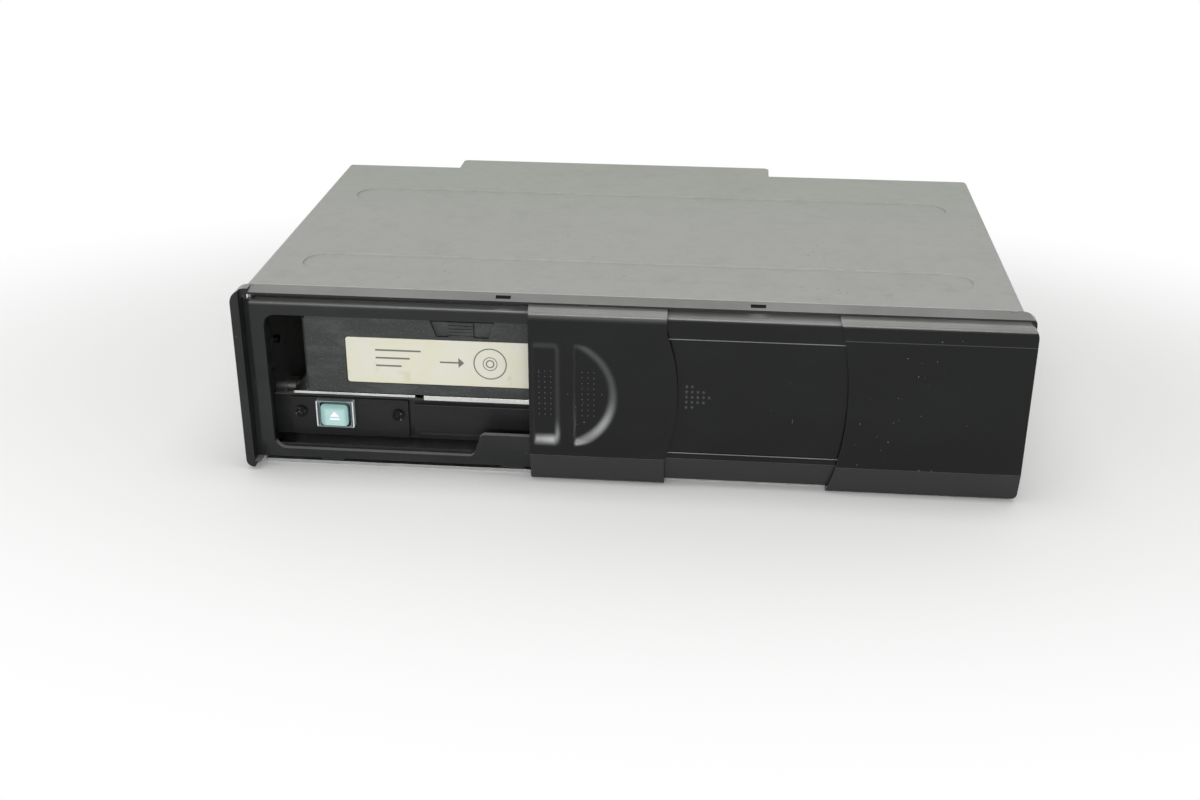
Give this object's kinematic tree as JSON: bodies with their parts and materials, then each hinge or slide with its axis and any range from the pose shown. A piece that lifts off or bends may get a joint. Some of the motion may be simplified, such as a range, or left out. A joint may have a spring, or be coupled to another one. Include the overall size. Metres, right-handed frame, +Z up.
{
  "type": "car cd changer",
  "caption": "Flat car CD changer: grey sheet-metal cover, black front with sliding doors, disc magazine behind, eject key, lifting disc drive, floating frame and rear sockets.",
  "frame": {"origin": "under the middle of the whole unit, on the plane of its flat underside", "axes": "+X along the width to the right as seen from the front, +Y from the front doors to the rear sockets, +Z up"},
  "size_m": [0.266, 0.162, 0.0676],
  "materials": {
    "cover_steel": "grey, slightly mottled, semi-matt",
    "chassis_steel": "zinc-plated sheet",
    "frame_plastic": "dark grey, fine grain",
    "cover_plastic": "black, satin",
    "door_plastic": "black, satin",
    "panel_plastic": "black, satin",
    "black_screw": "black zinc",
    "board_screw": "zinc",
    "key_cap": "pale green translucent",
    "clear_collar": "clear",
    "plate_plastic": "black",
    "circuit_board": "green laminate",
    "magazine_plastic": "dark grey, grained",
    "label_paper": "printed, matt",
    "tray_plastic": "dark grey",
    "cradle_steel": "zinc-plated sheet",
    "mech_steel": "zinc-plated sheet",
    "polished_rod": "ground and polished",
    "screw_steel": "machined",
    "gear_plastic": "natural acetal",
    "motor_can": "plated can",
    "damper_rubber": "soft rubber",
    "spring_wire": "spring steel",
    "turntable_plastic": "black with a rubber pad",
    "sled_plastic": "black",
    "lens_plastic": "coated lens",
    "socket_plastic": "black",
    "fibre_plastic": "dark",
    "dial_plastic": "white"
  },
  "bodies": {
    "case": {"top_cover": "cover_steel", "chassis": "chassis_steel", "case_screws": "black_screw", "front_bezel": "frame_plastic", "bezel_screws": "black_screw", "right_cover": "cover_plastic", "button_collar": "clear_collar", "key_plate": "plate_plastic", "lower_plate": "plate_plastic", "key_screws": "black_screw", "switch_board": "circuit_board", "main_board": "circuit_board", "board_screws": "board_screw", "din_socket_1": "socket_plastic", "din_socket_2": "socket_plastic", "fibre_socket": "fibre_plastic", "oil_dampers": "damper_rubber", "suspension_springs": "spring_wire"},
    "outer_door": {"outer_door": "door_plastic"},
    "middle_door": {"middle_door": "panel_plastic"},
    "eject_key": {"eject_button": "key_cap"},
    "floating_frame": {"mech_frame": "mech_steel", "guide_posts": "polished_rod", "magazine_cradle": "cradle_steel", "lift_motor": "motor_can"},
    "magazine": {"magazine_base": "magazine_plastic", "magazine_lid": "magazine_plastic", "magazine_label": "label_paper", "magazine_catch": "magazine_plastic"},
    "drive": {"drive_plate": "mech_steel", "spindle_motor": "motor_can", "hinge_pin": "polished_rod", "guide_rod": "polished_rod", "sled_motor": "motor_can", "loading_motor": "motor_can"},
    "lift_screw": {"lift_screw": "screw_steel"},
    "lift_idler_1": {"lift_idler_1": "gear_plastic"},
    "lift_idler_2": {"lift_idler_2": "gear_plastic"},
    "lift_idler_3": {"lift_idler_3": "gear_plastic"},
    "lift_pinion": {"lift_pinion": "gear_plastic"},
    "clamp_arm": {"clamp_arm": "mech_steel"},
    "clamper": {"clamper": "turntable_plastic"},
    "turntable": {"turntable": "turntable_plastic"},
    "sled": {"pickup_sled": "sled_plastic"},
    "lens": {"lens": "lens_plastic"},
    "sled_screw": {"sled_screw": "screw_steel"},
    "loading_wheel": {"loading_wheel": "gear_plastic"},
    "loading_pinion": {"loading_pinion": "gear_plastic"},
    "dial_left": {"float_dial_left": "dial_plastic"},
    "dial_right": {"float_dial_right": "dial_plastic"},
    "tray_1": {"tray_1": "tray_plastic"},
    "tray_2": {"tray_2": "tray_plastic"},
    "tray_3": {"tray_3": "tray_plastic"},
    "tray_4": {"tray_4": "tray_plastic"},
    "tray_5": {"tray_5": "tray_plastic"},
    "tray_6": {"tray_6": "tray_plastic"}
  },
  "joints": [
    {"name": "outer_door_slide", "type": "slide", "parent": "case", "child": "outer_door", "axis": [1, 0, 0], "range_m": [-0.0935, 0.0543]},
    {"name": "middle_door_slide", "type": "slide", "parent": "case", "child": "middle_door", "axis": [1, 0, 0], "range_m": [-0.0638, 0.0371]},
    {"name": "eject_press", "type": "slide", "parent": "case", "child": "eject_key", "axis": [0, 1, 0], "range_m": [0, 0.002], "stiffness_N_per_m": 400, "springref_m": -0.001},
    {"name": "suspension", "type": "slide", "parent": "case", "child": "floating_frame", "axis": [0, 0, 1], "range_m": [-0.001, 0.001], "stiffness_N_per_m": 9000, "springref_m": 0.0008, "deforming": ["suspension_springs", "oil_dampers"]},
    {"name": "magazine_eject", "type": "slide", "parent": "floating_frame", "child": "magazine", "axis": [0, 1, 0], "range_m": [-0.0085, 0]},
    {"name": "tray_1_slide", "type": "slide", "parent": "magazine", "child": "tray_1", "axis": [1, 0, 0], "range_m": [0, 0.113]},
    {"name": "tray_2_slide", "type": "slide", "parent": "magazine", "child": "tray_2", "axis": [1, 0, 0], "range_m": [0, 0.113]},
    {"name": "tray_3_slide", "type": "slide", "parent": "magazine", "child": "tray_3", "axis": [1, 0, 0], "range_m": [0, 0.113]},
    {"name": "tray_4_slide", "type": "slide", "parent": "magazine", "child": "tray_4", "axis": [1, 0, 0], "range_m": [0, 0.113]},
    {"name": "tray_5_slide", "type": "slide", "parent": "magazine", "child": "tray_5", "axis": [1, 0, 0], "range_m": [0, 0.113]},
    {"name": "tray_6_slide", "type": "slide", "parent": "magazine", "child": "tray_6", "axis": [1, 0, 0], "range_m": [0, 0.113]},
    {"name": "drive_lift", "type": "slide", "parent": "floating_frame", "child": "drive", "axis": [0, 0, -1], "range_m": [-0.0325, 0]},
    {"name": "lift_screw_turn", "type": "hinge", "parent": "floating_frame", "child": "lift_screw", "pos_m": [0.0295, 0.062, 0.02], "axis": [0, 0, 1], "range_deg": [-4680, 0]},
    {"name": "lift_idler_1_turn", "type": "hinge", "parent": "floating_frame", "child": "lift_idler_1", "pos_m": [0.01988, 0.062, 0.008], "axis": [0, 0, 1], "range_deg": [0, 4680]},
    {"name": "lift_idler_2_turn", "type": "hinge", "parent": "floating_frame", "child": "lift_idler_2", "pos_m": [0.01026, 0.062, 0.008], "axis": [0, 0, 1], "range_deg": [-4680, 0]},
    {"name": "lift_idler_3_turn", "type": "hinge", "parent": "floating_frame", "child": "lift_idler_3", "pos_m": [0.00064, 0.062, 0.008], "axis": [0, 0, 1], "range_deg": [0, 4680]},
    {"name": "lift_pinion_turn", "type": "hinge", "parent": "floating_frame", "child": "lift_pinion", "pos_m": [-0.00778, 0.062, 0.008], "axis": [0, 0, 1], "range_deg": [-6240, 0]},
    {"name": "clamp_arm_lift", "type": "hinge", "parent": "drive", "child": "clamp_arm", "pos_m": [0.0635, 0.0614, 0.023], "axis": [-1, 0, 0], "range_deg": [0, 3]},
    {"name": "turntable_turn", "type": "hinge", "parent": "drive", "child": "turntable", "pos_m": [0.0635, -0.0046, 0.016], "axis": [0, 0, 1], "continuous": true},
    {"name": "clamper_turn", "type": "hinge", "parent": "clamp_arm", "child": "clamper", "pos_m": [0.0635, -0.0046, 0.02], "axis": [0, 0, 1], "continuous": true},
    {"name": "sled_travel", "type": "slide", "parent": "drive", "child": "sled", "axis": [0, -1, 0], "range_m": [0, 0.035]},
    {"name": "sled_screw_turn", "type": "hinge", "parent": "drive", "child": "sled_screw", "pos_m": [0.0825, -0.041, 0.0148], "axis": [0, 1, 0], "range_deg": [0, 6300]},
    {"name": "lens_focus", "type": "slide", "parent": "sled", "child": "lens", "axis": [0, 0, 1], "range_m": [-0.0005, 0.0005], "stiffness_N_per_m": 30},
    {"name": "loading_wheel_turn", "type": "hinge", "parent": "drive", "child": "loading_wheel", "pos_m": [0.0095, 0.06008, 0.017], "axis": [0, 0, 1], "continuous": true},
    {"name": "loading_pinion_turn", "type": "hinge", "parent": "drive", "child": "loading_pinion", "pos_m": [0.01563, 0.062, 0.0126], "axis": [0, 0, 1], "continuous": true},
    {"name": "dial_left_turn", "type": "hinge", "parent": "case", "child": "dial_left", "pos_m": [-0.129, 0.001, 0.015], "axis": [1, 0, 0], "range_deg": [0, 90]},
    {"name": "dial_right_turn", "type": "hinge", "parent": "case", "child": "dial_right", "pos_m": [0.129, 0.001, 0.015], "axis": [1, 0, 0], "range_deg": [0, 90]}
  ],
  "couplings": [
    {"joint": "middle_door_slide", "follows": "outer_door_slide", "ratio": 0.6814},
    {"joint": "lift_screw_turn", "follows": "drive_lift", "rad_per_m": 2513.3},
    {"joint": "lift_idler_1_turn", "follows": "drive_lift", "rad_per_m": -2513.3},
    {"joint": "lift_idler_2_turn", "follows": "drive_lift", "rad_per_m": 2513.3},
    {"joint": "lift_idler_3_turn", "follows": "drive_lift", "rad_per_m": -2513.3},
    {"joint": "lift_pinion_turn", "follows": "drive_lift", "rad_per_m": 3351},
    {"joint": "clamper_turn", "follows": "turntable_turn", "ratio": 1},
    {"joint": "sled_screw_turn", "follows": "sled_travel", "rad_per_m": 3141.6},
    {"joint": "loading_pinion_turn", "follows": "loading_wheel_turn", "ratio": -1}
  ]
}
